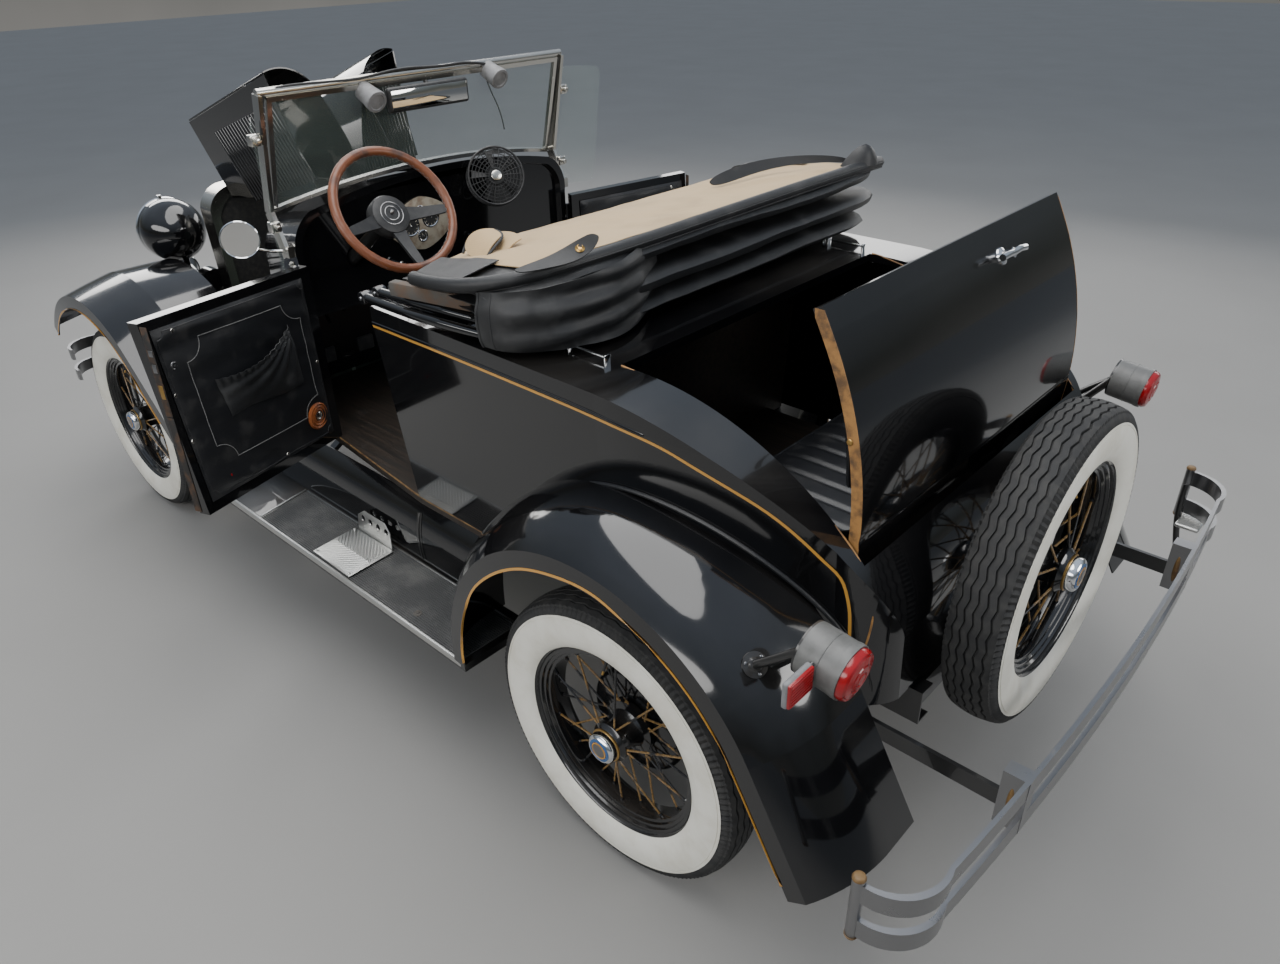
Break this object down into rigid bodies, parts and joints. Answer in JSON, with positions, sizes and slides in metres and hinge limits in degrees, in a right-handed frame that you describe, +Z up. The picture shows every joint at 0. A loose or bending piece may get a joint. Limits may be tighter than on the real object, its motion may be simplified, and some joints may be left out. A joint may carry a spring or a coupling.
{
  "type": "vintage open two-seat car with a rumble seat",
  "caption": "Black open-topped vintage roadster with wire wheels, whitewall tyres, rear rumble seat and folded top; doors, bonnet halves and rumble lid stand open.",
  "frame": {"origin": "on the ground midway between the bumpers' ends, on the car's middle plane", "axes": "+X forwards, +Y to the car's left, +Z up"},
  "size_m": [3.9826, 2.1748, 1.6858],
  "materials": {
    "body_paint": "gloss black",
    "chassis_paint": "satin black",
    "wheel_paint": "gloss black",
    "engine_iron": "matt",
    "tyre_rubber": "matt",
    "bright_metal": "polished",
    "nickel": "worn bright",
    "screen_glass": "clear",
    "black_vinyl": "soft gloss",
    "brown_board": "worn",
    "brown_rim": "worn",
    "top_cloth": "black leathercloth with a tan lining",
    "old_steel": "weathered",
    "board_rubber": "ribbed black"
  },
  "bodies": {
    "car": {"bonnet_rod": "nickel", "cockpit_floor": "chassis_paint", "cowl": "body_paint", "dash_panel": "body_paint", "engine_gearbox": "engine_iron", "exhaust": "old_steel", "fenders_front": "body_paint", "fenders_rear": "body_paint", "folded_top": "top_cloth", "frame_rails": "chassis_paint", "front_axle": "chassis_paint", "front_bumper": "nickel", "headlamps_horn": "body_paint", "leaf_springs": "chassis_paint", "quarter_panel_left": "body_paint", "quarter_panel_right": "body_paint", "radiator_core": "chassis_paint", "radiator_shell": "bright_metal", "rear_axle": "chassis_paint", "rear_body_centre": "body_paint", "rear_bumper": "nickel", "rumble_base": "brown_board", "rumble_cushion": "black_vinyl", "rumble_tub": "brown_board", "running_boards": "board_rubber", "seat_back": "black_vinyl", "seat_base": "brown_board", "seat_cushion": "black_vinyl", "spare_carrier": "chassis_paint", "splash_aprons": "body_paint", "steering_column": "chassis_paint", "tail_lamps": "body_paint", "tyre_spare": "tyre_rubber", "wheel_spare": "wheel_paint", "windscreen_frame": "nickel", "windscreen_glass": "screen_glass"},
    "wheel_front_left": {"wheel_front_left": "wheel_paint", "tyre_front_left": "tyre_rubber"},
    "wheel_front_right": {"wheel_front_right": "wheel_paint", "tyre_front_right": "tyre_rubber"},
    "wheel_rear_left": {"wheel_rear_left": "wheel_paint", "tyre_rear_left": "tyre_rubber"},
    "wheel_rear_right": {"wheel_rear_right": "wheel_paint", "tyre_rear_right": "tyre_rubber"},
    "knuckle_left": {"knuckle_left": "chassis_paint"},
    "door_left": {"door_left": "body_paint"},
    "bonnet_top_left": {"bonnet_top_left": "body_paint"},
    "bonnet_side_left": {"bonnet_side_left": "body_paint"},
    "knuckle_right": {"knuckle_right": "chassis_paint"},
    "door_right": {"door_right": "body_paint"},
    "bonnet_top_right": {"bonnet_top_right": "body_paint"},
    "bonnet_side_right": {"bonnet_side_right": "body_paint"},
    "track_rod": {"track_rod": "chassis_paint"},
    "steering_wheel": {"steering_wheel": "brown_rim"},
    "rumble_lid": {"rumble_lid": "body_paint", "rumble_lid_pad": "black_vinyl"}
  },
  "joints": [
    {"name": "steer_left", "type": "hinge", "parent": "car", "child": "knuckle_left", "pos_m": [1.504, 0.64, 0.378], "axis": [0, 0, 1], "range_deg": [-28, 28]},
    {"name": "steer_right", "type": "hinge", "parent": "car", "child": "knuckle_right", "pos_m": [1.504, -0.64, 0.378], "axis": [0, 0, 1], "range_deg": [-28.5, 28.5]},
    {"name": "track_rod_pivot", "type": "hinge", "parent": "knuckle_left", "child": "track_rod", "pos_m": [1.339, 0.64, 0.318], "axis": [0, 0, 1], "range_deg": [-28.5, 28.5]},
    {"name": "steering_wheel_turn", "type": "hinge", "parent": "car", "child": "steering_wheel", "pos_m": [0.08, 0.345, 1.35], "axis": [0.8192, 0, -0.5736], "range_deg": [-340, 340]},
    {"name": "roll_front_left", "type": "hinge", "parent": "knuckle_left", "child": "wheel_front_left", "pos_m": [1.504, 0.711, 0.378], "axis": [0, 1, 0], "continuous": true},
    {"name": "roll_rear_left", "type": "hinge", "parent": "car", "child": "wheel_rear_left", "pos_m": [-1.125, 0.711, 0.378], "axis": [0, 1, 0], "continuous": true},
    {"name": "roll_front_right", "type": "hinge", "parent": "knuckle_right", "child": "wheel_front_right", "pos_m": [1.504, -0.711, 0.378], "axis": [0, 1, 0], "continuous": true},
    {"name": "roll_rear_right", "type": "hinge", "parent": "car", "child": "wheel_rear_right", "pos_m": [-1.125, -0.711, 0.378], "axis": [0, 1, 0], "continuous": true},
    {"name": "door_left_hinge", "type": "hinge", "parent": "car", "child": "door_left", "pos_m": [0.322, 0.55, 0.9], "axis": [0, 0, -1], "range_deg": [-68.6, 4]},
    {"name": "door_right_hinge", "type": "hinge", "parent": "car", "child": "door_right", "pos_m": [0.322, -0.55, 0.9], "axis": [0, 0, 1], "range_deg": [-68.6, 4]},
    {"name": "rumble_lid_hinge", "type": "hinge", "parent": "car", "child": "rumble_lid", "pos_m": [-1.42, 0, 0.934], "axis": [0, -1, 0], "range_deg": [-61.5, 4]},
    {"name": "bonnet_left_hinge", "type": "hinge", "parent": "car", "child": "bonnet_top_left", "pos_m": [0.765, 0, 1.28], "axis": [0.9926, 0, -0.1211], "range_deg": [-79, 4]},
    {"name": "bonnet_right_hinge", "type": "hinge", "parent": "car", "child": "bonnet_top_right", "pos_m": [0.765, 0, 1.28], "axis": [-0.9926, 0, 0.1211], "range_deg": [-84.5, 4]},
    {"name": "bonnet_left_fold", "type": "hinge", "parent": "bonnet_top_left", "child": "bonnet_side_left", "pos_m": [0.83437, 0.27013, 1.65481], "axis": [0.951, 0.0105, -0.309], "range_deg": [-5.4, 97.2]},
    {"name": "bonnet_right_fold", "type": "hinge", "parent": "bonnet_top_right", "child": "bonnet_side_right", "pos_m": [0.83729, -0.23242, 1.67877], "axis": [0.9512, -0.0289, -0.3071], "range_deg": [-88.5, 4.67]}
  ],
  "couplings": [
    {"joint": "steer_right", "follows": "steer_left", "ratio": 1},
    {"joint": "track_rod_pivot", "follows": "steer_left", "ratio": -1},
    {"joint": "steering_wheel_turn", "follows": "steer_left", "ratio": -12},
    {"joint": "bonnet_left_fold", "follows": "bonnet_left_hinge", "ratio": -1.2241},
    {"joint": "bonnet_right_fold", "follows": "bonnet_right_hinge", "ratio": 1.0414}
  ]
}
